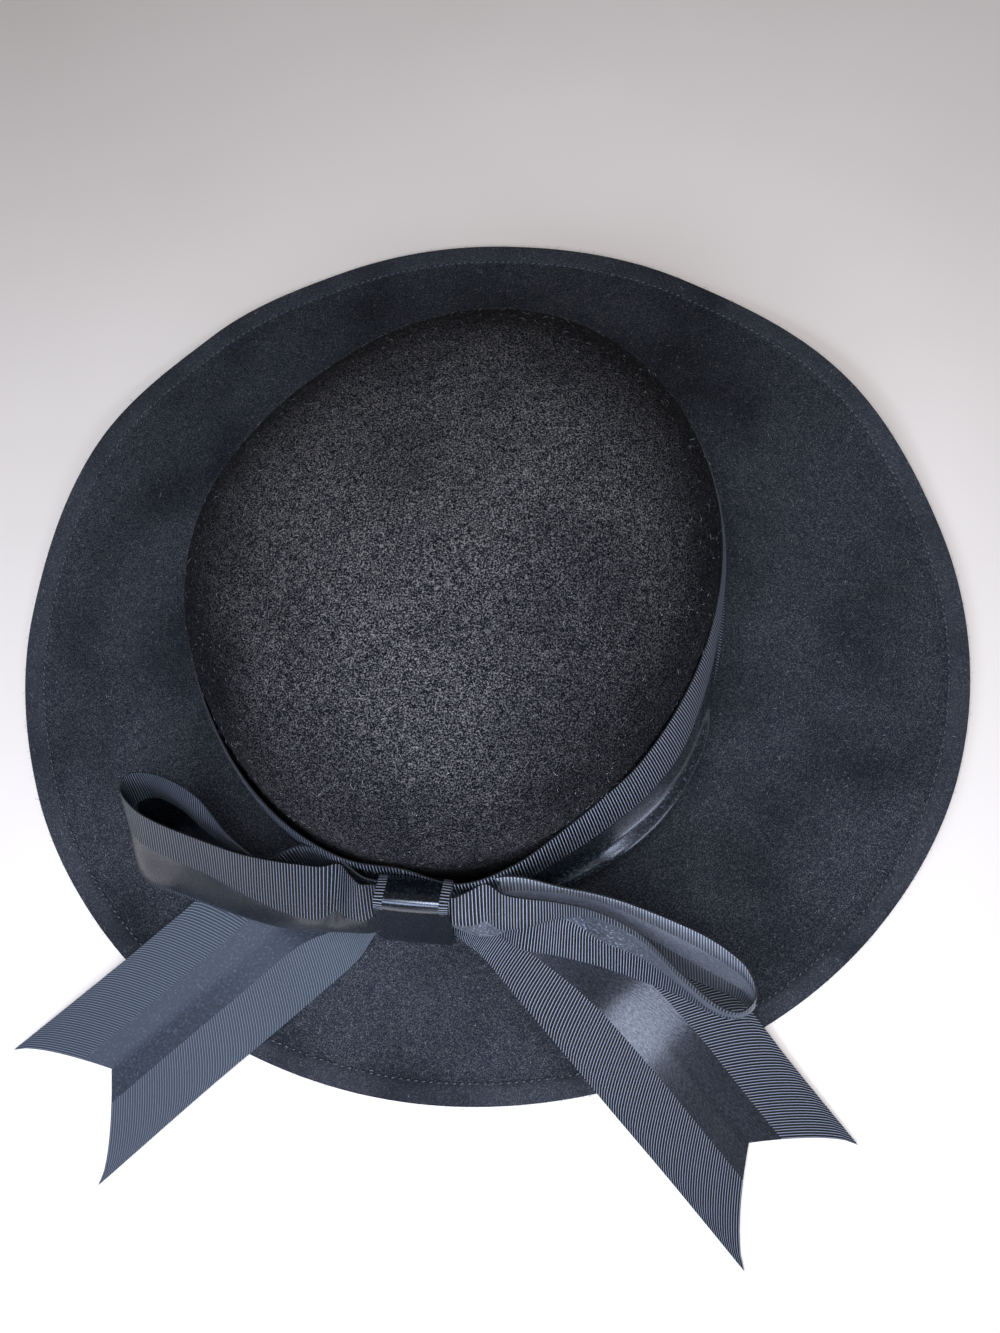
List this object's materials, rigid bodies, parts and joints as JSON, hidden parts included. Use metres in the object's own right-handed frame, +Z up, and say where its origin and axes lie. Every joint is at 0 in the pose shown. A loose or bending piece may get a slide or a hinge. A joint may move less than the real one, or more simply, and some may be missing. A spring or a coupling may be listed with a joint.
{
  "type": "wide-brim felt hat",
  "caption": "Wide-brim wool felt hat with a round crown, a gently waved brim, a ribbon band and a bow with notched ribbon ends, resting on its brim.",
  "frame": {"origin": "centre of the hat's footprint, ribbon ends included, on the surface it rests on", "axes": "+Z up through the crown, -Y toward the bow at the front of the hat, +X to the right of the bow as the viewer faces it"},
  "size_m": [0.3506, 0.3775, 0.1111],
  "materials": {
    "wool_felt": "brushed wool felt, black",
    "ribbon": "ribbed and satin woven ribbon, black"
  },
  "bodies": {
    "root": {"felt_body": "wool_felt", "hat_band": "ribbon", "bow_loop_left": "ribbon", "bow_loop_right": "ribbon", "bow_knot": "ribbon", "bow_tail_left": "ribbon", "bow_tail_right": "ribbon"}
  },
  "joints": []
}
